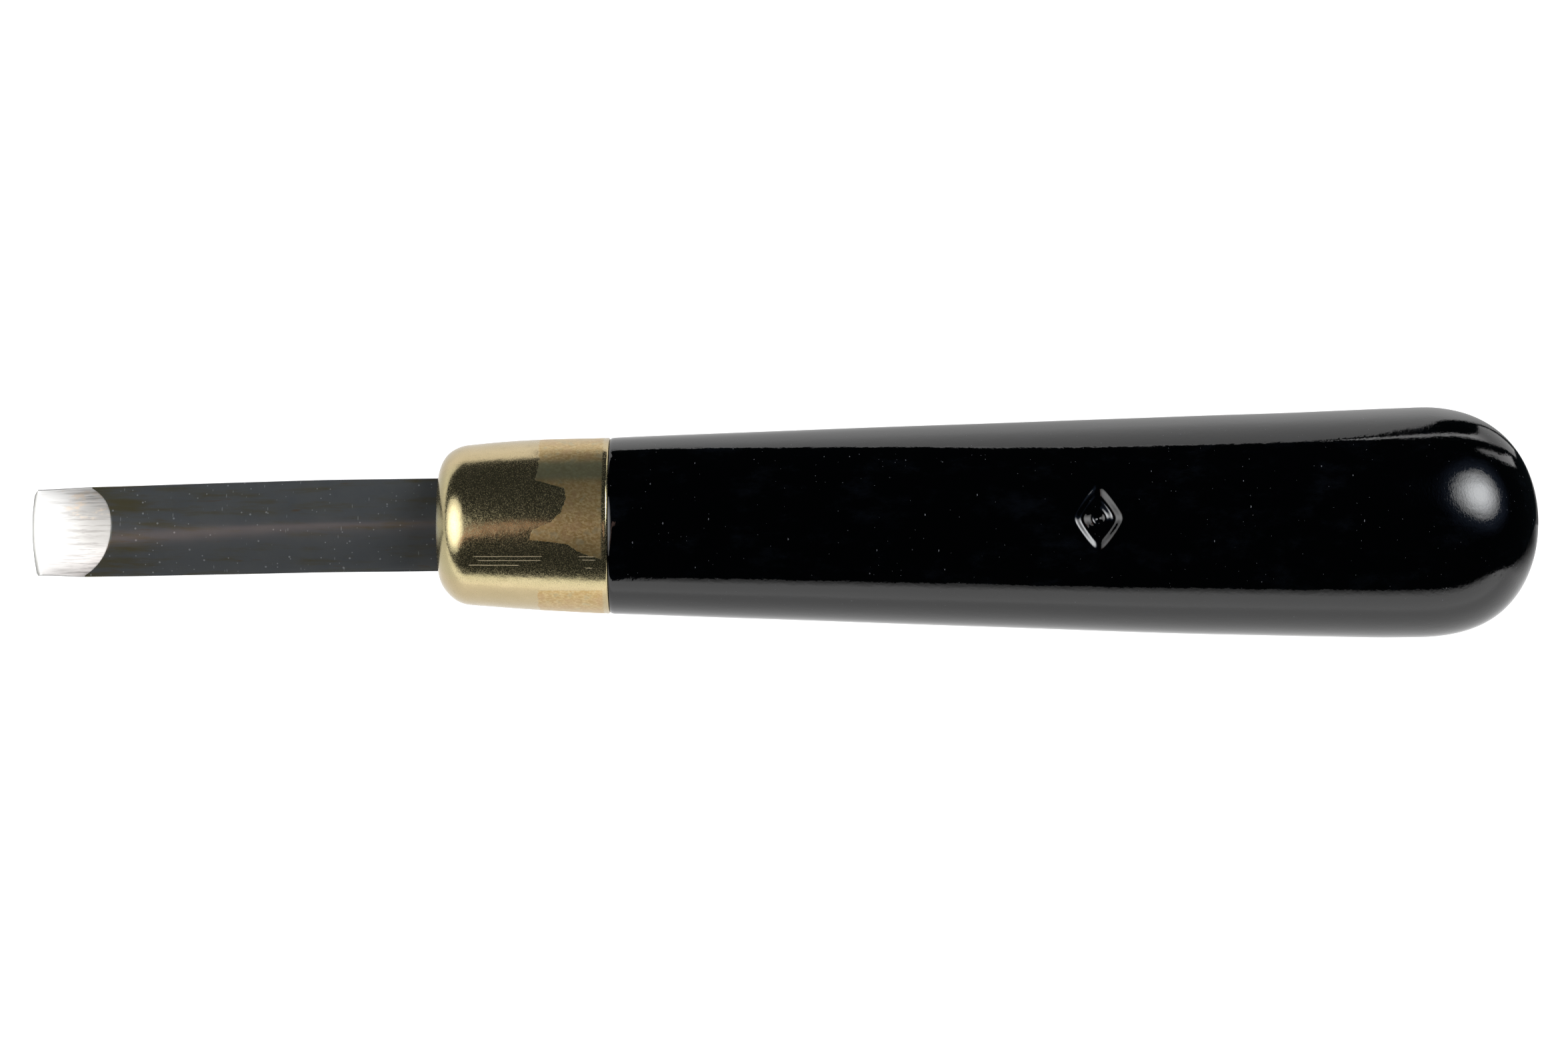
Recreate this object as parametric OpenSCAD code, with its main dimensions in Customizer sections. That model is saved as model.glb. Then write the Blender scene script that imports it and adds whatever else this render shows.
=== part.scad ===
// Small palm carving gouge: a straight steel blade with its bevel on the convex back, set in a
// turned handle behind a spun ferrule. The tool's axis is the X axis, the cutting edge points
// to -X, the convex back of the blade faces +Z, and the origin is the middle of the length.

/* [Blade] */
// Width of the blade where it leaves the ferrule
blade_w = 8.06; // [6:0.01:8.1]
// Width of the blade just behind the cutting edge
tip_w = 7.64; // [5:0.01:8.1]
// Length of blade outside the ferrule
blade_out = 35.6; // [20:0.1:60]
// Thickness of the blade along its centre line
blade_t = 1.88; // [1.4:0.01:2.1]
// Radius of the convex back
back_r = 7; // [5.5:0.1:12]
// Radius of the shallow hollow under the blade
channel_r = 20; // [14:0.5:60]
// Height of the crown of the back above the tool's axis
crown_z = 1.7; // [1.4:0.05:1.9]
// Angle at which the blade sits off the tool's axis, in degrees
skew = 1.1; // [0:0.1:1.5]

/* [Bevel] */
// Angle of the bevel
bevel_angle = 15; // [12:0.5:25]
// Radius of the bevel across its width, where it was rolled on the stone
bevel_r = 14.6; // [10:0.1:40]
// Angle of the honed facet at the edge
hone_angle = 38; // [30:1:50]
// Length of the honed facet
hone_len = 0.25; // [0.1:0.01:0.4]
// Radius of the worn corner on the +Y side
corner_left = 0.7; // [0.2:0.05:1]
// Radius of the worn corner on the -Y side
corner_right = 0.3; // [0.2:0.05:1]

/* [Tang] */
// Length of full blade section inside the ferrule's mouth
bar_in = 3.3; // [2:0.1:5]
// Length of the tang behind the shoulders
tang_len = 36; // [20:0.5:40]
// Width of the tang at the shoulders
tang_w = 3.8; // [3:0.1:3.8]
// Height of the tang at the shoulders
tang_h = 1.8; // [1.6:0.1:1.8]
// Side of the square at the tang's end
tang_end = 1.5; // [1:0.1:1.8]

/* [Ferrule] */
// Length of the ferrule
ferrule_len = 15.1; // [12:0.1:20]
// Radius of the round mouth that locates the edges of the blade
mouth_r = 4.1; // [4.1:0.05:4.4]
// Radius of the spun nose
nose_r = 2.92; // [2.4:0.02:3]
// Thickness of the brass
wall = 0.6; // [0.4:0.05:0.8]
// Length of the straight stretch at the rear, in line with the handle
ferrule_straight = 4.1; // [2:0.1:6]

/* [Handle] */
// Length of the handle behind the ferrule
handle_len = 81.1; // [70:0.1:110]
// Radius at the shoulder, where the handle meets the ferrule
shoulder_r = 7.71; // [7.7:0.01:8.2]
// Growth of the radius along the straight stretch, in mm per mm
taper = 0.0363; // [0.02:0.0001:0.045]
// Length of the straight stretch behind the shoulder
straight_len = 49.9; // [45:0.1:60]
// Fullness of the domed butt: a higher power is squarer
dome_power = 7.8; // [4:0.1:12]
// Radius of the turned edge at the shoulder
edge_r = 0.3; // [0.1:0.05:0.4]

/* [Bore] */
// Diameter of the hole drilled for the tang
bore_d = 5; // [5:0.1:6]
// Depth of the hole's straight wall, from the front of the tenon
bore_depth = 40.5; // [40.5:0.5:60]
// How far the tenon's nose sits behind the ferrule's rim
tenon_gap = 0.3; // [0.1:0.05:0.35]

/* [Punched mark] */
// Distance of the mark behind the shoulder
mark_x = 42.1; // [20:0.1:46]
// Sideways offset of the mark from the crown of the handle
mark_y = 0.6; // [-1:0.1:1]
// Width of the mark along the handle
mark_w = 3.8; // [2.5:0.1:5]
// Height of the mark across the handle
mark_h = 5.2; // [3.5:0.1:6]
// Width of the mark's stroke
mark_stroke = 0.75; // [0.4:0.05:0.8]
// Depth of the mark
mark_depth = 0.35; // [0.1:0.05:0.6]

/* [Hidden] */
$fn = 96;

total_len = blade_out + ferrule_len + handle_len;
mouth_x = blade_out - total_len / 2;

// Past every face that a cutter has to clear
clear = 1;
// Slope of the ferrule where its nose runs into its side
nose_slope = 5.2;
// Step of the arcs, in degrees
arc_step = 3;
// Length of blade that has lost width by sharpening
worn_len = 17;
// Point of the drill that made the bore
drill_point = 118;

// Points of an arc from angle a to angle b, both in degrees
function arc(cx, cy, r, a, b, n = 8) =
    [for (i = [0:n]) let (t = a + (b - a) * i / n) [cx + r * cos(t), cy + r * sin(t)]];

// ---- Turned outlines: [radius, distance behind the ferrule's mouth] ----

// The line that the handle and the rear of the ferrule share
function cone_at(s) = shoulder_r + taper * (s - ferrule_len);

// The nose arc runs from the rim of the mouth up to nose_slope short of the top
function nose(inset) = [
    for (t = [0:arc_step:90 - nose_slope])
        [mouth_r + (nose_r - inset) * sin(t), nose_r - (nose_r - inset) * cos(t)]
];
nose_end_s = nose_r - nose_r * sin(nose_slope);
nose_end_r = mouth_r + nose_r * cos(nose_slope);
straight_s = ferrule_len - ferrule_straight;
swell = (cone_at(nose_end_s) - nose_end_r) / pow(straight_s - nose_end_s, 2);
side_steps = 8;

// The side of the ferrule eases from the nose into the shared line
function side(inset) = [
    for (i = [0:side_steps])
        let (s = nose_end_s + (straight_s - nose_end_s) * i / side_steps)
        [cone_at(s) - swell * pow(straight_s - s, 2) - inset, s]
];
function shell(inset) = concat(nose(inset), side(inset), [[shoulder_r - inset, ferrule_len]]);
function reversed(list) = [for (i = [len(list) - 1:-1:0]) list[i]];

dome_start = ferrule_len + straight_len;
dome_len = handle_len - straight_len;
// The dome scales the shared line by the cosine of an angle that grows to 90 at the butt
function dome() = [
    for (t = [0:1.5:90])
        let (s = dome_start + dome_len * pow(sin(t), 2 / dome_power))
        [cone_at(s) * cos(t), s]
];

function handle_outline() = concat(
    [[0, tenon_gap], [mouth_r, tenon_gap]],
    shell(wall),
    arc(shoulder_r - edge_r, ferrule_len + edge_r, edge_r, -90, 0, 6),
    dome()
);

module turned(points) {
    translate([mouth_x, 0, 0])
        rotate([0, 90, 0])
            rotate_extrude($fn = 180)
                polygon(points);
}

// ---- Blade, in its own frame: origin on the axis at the mouth, tip towards -X ----

edge_z = crown_z - blade_t;
// How far the honed facet takes the edge back from where the plain bevel would end
hone_back = hone_len * (1 - tan(bevel_angle) / tan(hone_angle));

module set_askew() {
    translate([mouth_x, 0, 0])
        rotate([0, 0, skew])
            children();
}

function blade_plan() = concat(
    [[bar_in, -blade_w / 2], [bar_in, blade_w / 2], [worn_len - blade_out, blade_w / 2]],
    arc(corner_left - blade_out, tip_w / 2 - corner_left, corner_left, 90, 180),
    arc(corner_right - blade_out, corner_right - tip_w / 2, corner_right, 180, 270),
    [[worn_len - blade_out, -blade_w / 2]]
);

module along_x(r, z, from, to) {
    translate([from, 0, z])
        rotate([0, 90, 0])
            cylinder(r = r, h = to - from);
}

module bar() {
    difference() {
        intersection() {
            along_x(back_r, crown_z - back_r, -blade_out - clear, bar_in);
            translate([0, 0, -back_r])
                linear_extrude(2 * back_r)
                    polygon(blade_plan());
        }
        along_x(channel_r, edge_z - channel_r, -blade_out - 2 * clear, bar_in + clear);
    }
}

// Everything above the rolled bevel, near the tip
module bevel_waste() {
    difference() {
        translate([-blade_out - clear, -blade_w, edge_z - 3 * clear])
            cube([blade_t / tan(bevel_angle) + 2 * clear, 2 * blade_w, 4 * blade_t + 3 * clear]);
        translate([-blade_out - hone_back, 0, edge_z])
            rotate([0, -bevel_angle, 0])
                along_x(bevel_r, -bevel_r, -3 * clear, 2 * blade_t / sin(bevel_angle));
    }
}

module hone_waste() {
    translate([-blade_out, -blade_w, edge_z])
        rotate([0, -hone_angle, 0])
            translate([-clear, 0, 0])
                cube([2 * clear, 2 * blade_w, clear]);
}

module tang() {
    tang_end_x = bar_in + tang_len;
    root_x = bar_in - clear;
    root_z = edge_z + blade_t / 2 - tang_h / 2;
    intersection() {
        translate([0, 0, -back_r])
            linear_extrude(2 * back_r)
                polygon([
                    [root_x, -tang_w / 2], [tang_end_x, -tang_end / 2],
                    [tang_end_x, tang_end / 2], [root_x, tang_w / 2]
                ]);
        translate([0, back_r, 0])
            rotate([90, 0, 0])
                linear_extrude(2 * back_r)
                    polygon([
                        [root_x, root_z], [tang_end_x, -tang_end / 2],
                        [tang_end_x, tang_end / 2], [root_x, root_z + tang_h]
                    ]);
    }
}

// ---- Cutters in the handle ----

module bore() {
    start = mouth_x + tenon_gap;
    point_h = bore_d / 2 / tan(drill_point / 2);
    along_x(bore_d / 2, 0, start, start + bore_depth);
    translate([start + bore_depth, 0, 0])
        rotate([0, 90, 0])
            cylinder(h = point_h, r1 = bore_d / 2, r2 = 0);
}

function lozenge(w, h) = [[-w / 2, 0], [0, -h / 2], [w / 2, 0], [0, h / 2]];

// A hollow lozenge with a dot in it
module mark_shape() {
    // Stroke measured across the slanting side
    side_len = sqrt(mark_w * mark_w + mark_h * mark_h);
    inner = 1 - 2 * mark_stroke * side_len / (mark_w * mark_h);
    difference() {
        polygon(lozenge(mark_w, mark_h));
        polygon(lozenge(mark_w * inner, mark_h * inner));
    }
    circle(d = mark_stroke, $fn = 24);
}

// The mark's floor follows the handle's surface at a constant depth
module mark_cutter() {
    s = ferrule_len + mark_x;
    half = mark_w / 2 + clear;
    difference() {
        translate([mouth_x + s, mark_y, 0])
            linear_extrude(cone_at(s) + 2 * clear)
                mark_shape();
        translate([mouth_x + s - half, 0, 0])
            rotate([0, 90, 0])
                cylinder(
                    h = 2 * half,
                    r1 = cone_at(s - half) - mark_depth,
                    r2 = cone_at(s + half) - mark_depth,
                    $fn = 180
                );
    }
}

// ---- Sub-parts ----

module blade() {
    color("slategray")
        set_askew() {
            difference() {
                bar();
                bevel_waste();
                hone_waste();
            }
            tang();
        }
}

module ferrule() {
    color("goldenrod")
        turned(concat(shell(0), reversed(shell(wall))));
}

module handle() {
    color([0.05, 0.05, 0.06])
        difference() {
            turned(handle_outline());
            bore();
            set_askew() bar();
            mark_cutter();
        }
}

module tang_resin() {
    color("darkkhaki")
        difference() {
            bore();
            set_askew() {
                bar();
                tang();
            }
        }
}

blade();
ferrule();
handle();
tang_resin();
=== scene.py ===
"""Looks of the carving gouge: blade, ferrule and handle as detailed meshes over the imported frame.

Shapes are worked out in millimetres and stored in metres. X runs along the tool with the
cutting edge at -X, +Z is the convex back of the blade, and the axis of the tool is the X axis.
"""
import math

import bmesh
import bpy
import numpy as np
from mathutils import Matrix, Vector, noise


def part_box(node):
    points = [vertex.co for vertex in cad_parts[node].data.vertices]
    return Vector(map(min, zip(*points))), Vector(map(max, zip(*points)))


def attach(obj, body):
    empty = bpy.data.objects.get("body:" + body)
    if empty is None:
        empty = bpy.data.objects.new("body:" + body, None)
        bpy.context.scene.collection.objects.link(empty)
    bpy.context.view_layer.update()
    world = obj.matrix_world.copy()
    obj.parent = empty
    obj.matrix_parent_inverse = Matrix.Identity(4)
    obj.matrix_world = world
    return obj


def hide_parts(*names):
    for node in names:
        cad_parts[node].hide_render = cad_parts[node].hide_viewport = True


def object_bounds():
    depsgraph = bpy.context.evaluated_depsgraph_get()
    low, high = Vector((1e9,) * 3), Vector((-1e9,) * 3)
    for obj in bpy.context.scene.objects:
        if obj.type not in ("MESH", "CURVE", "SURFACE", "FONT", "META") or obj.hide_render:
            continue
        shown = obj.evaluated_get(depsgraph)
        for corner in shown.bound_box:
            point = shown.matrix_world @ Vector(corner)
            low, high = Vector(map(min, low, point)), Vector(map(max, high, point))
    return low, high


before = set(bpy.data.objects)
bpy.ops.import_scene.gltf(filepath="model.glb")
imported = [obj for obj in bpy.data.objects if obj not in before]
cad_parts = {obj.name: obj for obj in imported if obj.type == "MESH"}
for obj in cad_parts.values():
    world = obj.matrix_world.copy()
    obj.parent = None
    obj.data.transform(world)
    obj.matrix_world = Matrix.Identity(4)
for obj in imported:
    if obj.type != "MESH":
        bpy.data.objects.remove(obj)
cad_low, cad_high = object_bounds()

MM = 0.001

# ---------------------------------------------------------------- places, from the frame
ferrule_low, ferrule_high = (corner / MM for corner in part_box("ferrule"))
handle_low, handle_high = (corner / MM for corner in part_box("handle"))
MOUTH_X = ferrule_low.x
SHOULDER_X = ferrule_high.x
SHOULDER_R = ferrule_high.z
BUTT_X = handle_high.x
TENON_X = handle_low.x
LENGTH = (cad_high.x - cad_low.x) / MM

# ---------------------------------------------------------------- sizes, in millimetres
TAPER = 0.0363
STRAIGHT_LEN = 49.9
DOME_POWER = 7.8
EDGE_LEN = 0.45
EDGE_DROP = 0.16
BORE_R = 2.5
BORE_LEN = 40.5
BORE_POINT = 1.5

MOUTH_R = 4.1
NOSE_R = 2.92
NOSE_SLOPE = math.radians(5.2)
NOSE_BACK = 0.12
WALL = 0.6
FERRULE_STRAIGHT = 4.1
LIP = 0.12
REAR_ROUND = 0.2

# Uneven hand turning: how far the outside drifts towards +Y, and swells, by the place along X
DRIFT = [(-31, 0.13), (-29.6, 0.12), (-28.6, 0.05), (-25, 0.04), (-22, 0.03), (-19, 0.0), (-16, -0.05),
         (-12, -0.035), (-6, -0.02), (0, 0.0), (36, 0.01), (42.5, 0.04), (48, 0.093), (51, 0.14),
         (54, 0.20), (57, 0.27), (59.5, 0.26), (62.7, 0.20), (65.9, 0.17)]
SWELL = [(-31, 0.0), (30, 0.0), (37, -0.02), (42.5, -0.067), (45, -0.085), (49, -0.095), (52, -0.08),
         (54, -0.05), (57, 0.08), (59.7, 0.06), (62.6, -0.11), (64.4, -0.26), (65.3, -0.31), (65.9, -0.3)]

MARK_BEHIND = 42.1
MARK_Y = 0.6
MARK_W = 4.4
MARK_H = 6.4
MARK_STROKE = 0.75
MARK_DEPTH = 0.3
MARK_CORNER = 0.45

TIP_W = 7.54
BLADE_OUT = 35.6
BLADE_T = 1.88
BACK_R = 7.0
CHANNEL_R = 20.0
CROWN_Z = 1.7
SKEW = math.radians(1.1)
# Half width of the blade, narrowed by sharpening, by the distance from the tip
WORN_SIDE = [(-1, 3.76), (0, 3.77), (2, 3.80), (6, 3.92), (9, 3.95), (15, 4.00), (20, 4.03), (80, 4.03)]
# How far the blade wanders sideways from its straight line, by the distance from the tip
BLADE_BOW = [(-1, 0.01), (0, 0.01), (6, -0.014), (9, -0.008), (15, 0.037), (20, 0.066), (26, 0.10),
             (32, 0.055), (39, 0.02), (80, 0.0)]
BEVEL_ANGLE = math.radians(13.7)
BEVEL_ROLL = math.radians(3)
BEVEL_SWEEP = 0.055
BEVEL_SWEEP_GROWTH = 0.056
BEVEL_TILT = 0.024
HONE_ANGLE = math.radians(38)
HONE_LEN = 0.33
HONE_R = 15.8
EDGE_LAND = 0.012
CORNER_ROUND = 0.13
CORNER_LEFT = 0.5
CORNER_RIGHT = 0.2
CORNER_STRETCH = 1.4
BAR_IN = 3.3
TANG_LEN = 36.0
TANG_W = 3.8
TANG_H = 1.8
TANG_END = 1.5
SHARP_ANGLE = math.radians(28)


# ---------------------------------------------------------------- mesh helpers
def make_object(name, verts, faces):
    """A mesh object from points in millimetres, smooth but for its real creases."""
    mesh = bpy.data.meshes.new(name)
    mesh.from_pydata((np.asarray(verts) * MM).tolist(), [], faces)
    work = bmesh.new()
    work.from_mesh(mesh)
    bmesh.ops.recalc_face_normals(work, faces=work.faces)
    for face in work.faces:
        face.smooth = True
    for edge in work.edges:
        edge.smooth = edge.calc_face_angle(0.0) < SHARP_ANGLE
    work.to_mesh(mesh)
    work.free()
    obj = bpy.data.objects.new(name, mesh)
    bpy.context.collection.objects.link(obj)
    return obj


def loft(rings, closed=False):
    """Quads between rings of equal length; closed joins the last ring to the first."""
    count, around = len(rings), len(rings[0])
    verts = np.concatenate(rings)
    faces = []
    for i in range(count if closed else count - 1):
        a, b = i * around, (i + 1) % count * around
        for j in range(around):
            k = (j + 1) % around
            faces.append((a + j, a + k, b + k, b + j))
    return verts, faces


def lathe(outline, angles, bulge=None, closed=False):
    """Turns (x, r) points round the X axis. Open outlines start and end on the axis."""
    rings = []
    for x, r in outline:
        if r < 1e-6:
            continue
        radius = np.full(len(angles), r) if bulge is None else r + bulge(x, r, angles)
        rings.append(
            np.column_stack([np.full(len(angles), x), radius * np.sin(angles), radius * np.cos(angles)])
        )
    verts, faces = loft(rings, closed)
    if closed:
        return verts, faces
    first, last = len(verts), len(verts) + 1
    verts = np.vstack([verts, [outline[0][0], 0, 0], [outline[-1][0], 0, 0]])
    around, start = len(angles), (len(rings) - 1) * len(angles)
    for j in range(around):
        k = (j + 1) % around
        faces.append((first, k, j))
        faces.append((last, start + j, start + k))
    return verts, faces


def arc(cx, cr, radius, start, stop, steps):
    """Points (x, r) of an arc; angles in radians, from the +x direction towards +r."""
    return [
        (cx + radius * math.cos(t), cr + radius * math.sin(t))
        for t in np.linspace(start, stop, steps)
    ]


def through(points, x):
    """A smooth curve through (place, value) points, read at x."""
    at, value = np.array(points, dtype=float).T
    slope = np.gradient(value, at)
    i = np.clip(np.searchsorted(at, x) - 1, 0, len(at) - 2)
    gap = at[i + 1] - at[i]
    t = np.clip((x - at[i]) / gap, 0, 1)
    start = (1 + 2 * t) * (1 - t) ** 2 * value[i] + t * (1 - t) ** 2 * gap * slope[i]
    return start + t**2 * (3 - 2 * t) * value[i + 1] - t**2 * (1 - t) * gap * slope[i + 1]


def drifted(verts):
    """Moves the outside of a turned piece sideways by DRIFT, and leaves its bore where it is."""
    verts = np.array(verts, dtype=float)
    outside = np.clip((np.hypot(verts[:, 1], verts[:, 2]) - MOUTH_R) / 2, 0, 1)
    near_butt = smoothstep(BUTT_X - 8, BUTT_X - 2, verts[:, 0])
    verts[:, 1] += through(DRIFT, verts[:, 0]) * np.maximum(outside, near_butt)
    return verts


def smoothstep(low, high, value):
    t = np.clip((value - low) / (high - low), 0, 1)
    return t * t * (3 - 2 * t)


def wander(x, r, angles, size, seed):
    """Slow random rise and fall over a turned surface, from -1 to 1."""
    spots = [
        Vector((x, r * math.sin(t), r * math.cos(t))) / size + Vector((seed, 0, 0)) for t in angles
    ]
    return np.array([noise.noise(spot) for spot in spots])


def packed_steps(low, high, step, fine_low, fine_high, fine_step):
    """Positions from low to high, closer together between fine_low and fine_high."""
    return np.concatenate([
        np.linspace(low, fine_low, max(2, round((fine_low - low) / step)), endpoint=False),
        np.linspace(fine_low, fine_high, round((fine_high - fine_low) / fine_step), endpoint=False),
        np.linspace(fine_high, high, max(2, round((high - fine_high) / step))),
    ])


# ---------------------------------------------------------------- handle
def cone_at(x):
    """The line that the handle and the rear of the ferrule share."""
    return SHOULDER_R + TAPER * (x - SHOULDER_X)


def handle_radius(x):
    """Radius of the turned outside, from the shoulder to the butt."""
    into_edge = np.clip((SHOULDER_X + EDGE_LEN - x) / EDGE_LEN, 0, 1)
    edge_drop = EDGE_DROP * (1 - np.sqrt(1 - into_edge**2))
    start = SHOULDER_X + STRAIGHT_LEN
    share = np.clip((x - start) / (BUTT_X - start), 0, 1)
    round_off = np.sqrt(1 - share**DOME_POWER)
    return (cone_at(x) - edge_drop + through(SWELL, x) * np.minimum(1, 2.5 * round_off)) * round_off


def mark_depth(x, y):
    """Depth of the punched mark: a hollow lozenge with a dot, with soft walls and a low rim."""
    dx, dy = x - (SHOULDER_X + MARK_BEHIND), y - MARK_Y
    round_x, round_y = np.hypot(dx, MARK_CORNER), np.hypot(dy, MARK_CORNER)
    slant = MARK_W * MARK_H / 2 / math.hypot(MARK_W, MARK_H)
    outline = (2 * round_x / MARK_W + 2 * round_y / MARK_H - 1) * slant + MARK_STROKE / 2
    from_stroke = np.minimum(abs(outline), np.hypot(dx, dy)) - MARK_STROKE / 2
    groove = 1 - smoothstep(-0.35, 0.2, from_stroke)
    rim = np.exp(-(((from_stroke - 0.3) / 0.16) ** 2))
    return MARK_DEPTH * groove - 0.02 * rim


def handle_bulge(x, r, angles):
    """Hand-finished waviness and the punched mark, as a change of radius."""
    outside = x > SHOULDER_X + EDGE_LEN
    wave = 0.03 * wander(x, r, angles, 14, 3) if outside else np.zeros(len(angles))
    near_mark = abs(x - SHOULDER_X - MARK_BEHIND) < MARK_W
    if near_mark:
        wave -= np.where(np.cos(angles) > 0, mark_depth(x, r * np.sin(angles)), 0)
    return wave


def handle_outline():
    """From the blind end of the bore, out over the tenon, and along the outside to the butt."""
    bore_end = TENON_X + BORE_LEN
    points = [(bore_end + BORE_POINT, 0), (bore_end, BORE_R), (TENON_X, BORE_R), (TENON_X, MOUTH_R)]
    points += ferrule_side(WALL)
    mark_x = SHOULDER_X + MARK_BEHIND
    edge = SHOULDER_X + EDGE_LEN * (1 - np.cos(np.linspace(0, math.pi / 2, 9)))
    side_end = SHOULDER_X + STRAIGHT_LEN + 10
    side = packed_steps(edge[-1], side_end, 0.55, mark_x - 2.6, mark_x + 2.6, 0.065)
    start = SHOULDER_X + STRAIGHT_LEN
    turn = np.linspace(math.radians(5), math.pi / 2, 70)
    dome = start + (BUTT_X - start) * np.sin(turn) ** (2 / DOME_POWER)
    for x in np.concatenate([edge, side[1:], dome[dome > side_end + 0.2]]):
        points.append((float(x), float(handle_radius(x))))
    points[-1] = (BUTT_X, 0)
    return points


def make_handle():
    half = math.radians(20)
    angles = packed_steps(
        -math.pi, math.pi, math.radians(2.6), -half, half, math.radians(0.42)
    )[:-1]
    verts, faces = lathe(handle_outline(), angles, handle_bulge)
    return make_object("handle_turned", drifted(verts), faces)


# ---------------------------------------------------------------- ferrule
def ferrule_side(inset):
    """Outside of the ferrule moved in by inset, from the mouth to the rear, as (x, r)."""
    nose_x = MOUTH_X + NOSE_BACK
    points = [
        (nose_x + NOSE_R - (NOSE_R - inset) * math.cos(t), MOUTH_R + (NOSE_R - inset) * math.sin(t))
        for t in np.linspace(0, math.pi / 2 - NOSE_SLOPE, 26)
    ]
    join_x = nose_x + NOSE_R - NOSE_R * math.sin(NOSE_SLOPE)
    join_r = MOUTH_R + NOSE_R * math.cos(NOSE_SLOPE)
    straight_x = SHOULDER_X - FERRULE_STRAIGHT
    swell = (cone_at(join_x) - join_r) / (straight_x - join_x) ** 2
    for x in np.linspace(join_x, SHOULDER_X, 50)[1:]:
        ease = swell * max(straight_x - x, 0) ** 2
        points.append((float(x), float(cone_at(x) - ease - inset)))
    return points


def ferrule_bulge(x, r, angles):
    """Faint dents of the spinning, on the outside only."""
    if r < MOUTH_R + 0.5 or x > SHOULDER_X - REAR_ROUND:
        return np.zeros(len(angles))
    return 0.012 * wander(x, r, angles, 3.5, 11)


def make_ferrule():
    outer = ferrule_side(0)
    inner = ferrule_side(WALL)
    lip = arc(MOUTH_X + NOSE_BACK + LIP, MOUTH_R + LIP, LIP, -math.pi / 2, -math.pi, 5)
    outer = [p for p in outer if p[1] > MOUTH_R + LIP and p[0] < SHOULDER_X - REAR_ROUND - 0.05]
    rear_r = cone_at(SHOULDER_X) - REAR_ROUND
    rear = arc(SHOULDER_X - REAR_ROUND, rear_r, REAR_ROUND, math.pi / 2, 0, 6)
    outline = lip + outer + rear + inner[::-1]
    angles = np.linspace(0, 2 * math.pi, 240, endpoint=False)
    verts, faces = lathe(outline, angles, ferrule_bulge, closed=True)
    return make_object("ferrule_spun", drifted(verts), faces)


# ---------------------------------------------------------------- blade
def sag(radius, y):
    """How far an arc of this radius has fallen, y to the side of its crown."""
    return radius - np.sqrt(radius**2 - y**2)


SIDE_POINTS = 6
STEEL, GROUND, HONED = range(3)
EDGE_Z = CROWN_Z - BLADE_T
BEVEL_LEN = BLADE_T / math.tan(BEVEL_ANGLE)
BEVEL_STEEP = math.tan(BEVEL_ANGLE + BEVEL_ROLL)
BEVEL_FLAT = math.tan(BEVEL_ANGLE - BEVEL_ROLL)
HONE_BACK = HONE_LEN * (math.tan(HONE_ANGLE) / BEVEL_STEEP - 1)


def back_z(y):
    return CROWN_Z - sag(BACK_R, y)


def channel_z(y):
    return EDGE_Z - sag(CHANNEL_R, y)


def bevel_z(x, y):
    """The bevel, steeper and flatter across at the edge than at the heel; x counts from the tip."""
    run = x + HONE_BACK
    share = np.minimum(run / BEVEL_LEN, 1)
    ground = share * BEVEL_LEN
    rise = BEVEL_STEEP * ground - (BEVEL_STEEP - BEVEL_FLAT) / 2 * ground * share
    rise += BEVEL_FLAT * (run - ground)
    fall = y**2 / 2 * (BEVEL_SWEEP + BEVEL_SWEEP_GROWTH * share) + BEVEL_TILT * y * share
    return EDGE_Z + rise - fall


def hone_z(x, y):
    return EDGE_Z + math.tan(HONE_ANGLE) * x - sag(HONE_R, y) / math.cos(HONE_ANGLE)


def top_z(x, y):
    return np.minimum(back_z(y), np.minimum(bevel_z(x, y), hone_z(x, y)))


def half_width(x):
    return through(WORN_SIDE, x)


def solve_x(height, y, low, high):
    """The x at which height(x, y) crosses zero, by halving, for every y at once."""
    low, high = np.full_like(y, low), np.full_like(y, high)
    for _ in range(30):
        middle = (low + high) / 2
        above = height(middle, y) > 0
        high = np.where(above, middle, high)
        low = np.where(above, low, middle)
    return (low + high) / 2


def edge_x(y):
    """Plan of the cutting edge: worn to a low arc, with rounded corners and fine nicks."""
    x = solve_x(
        lambda a, b: np.minimum(bevel_z(a, b), hone_z(a, b)) - channel_z(b) - EDGE_LAND, y, -1.0, 3.0
    )
    for side, radius in ((1, CORNER_LEFT), (-1, CORNER_RIGHT)):
        across = CORNER_STRETCH * radius
        into = np.clip((side * y - (TIP_W / 2 - across)) / across, 0, 1)
        x += radius * (1 - np.sqrt(1 - into**2))
    nicks = np.array([noise.noise(Vector((v * 4.0, 0.3, 7.1))) for v in y])
    return x + 0.012 * nicks


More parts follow.
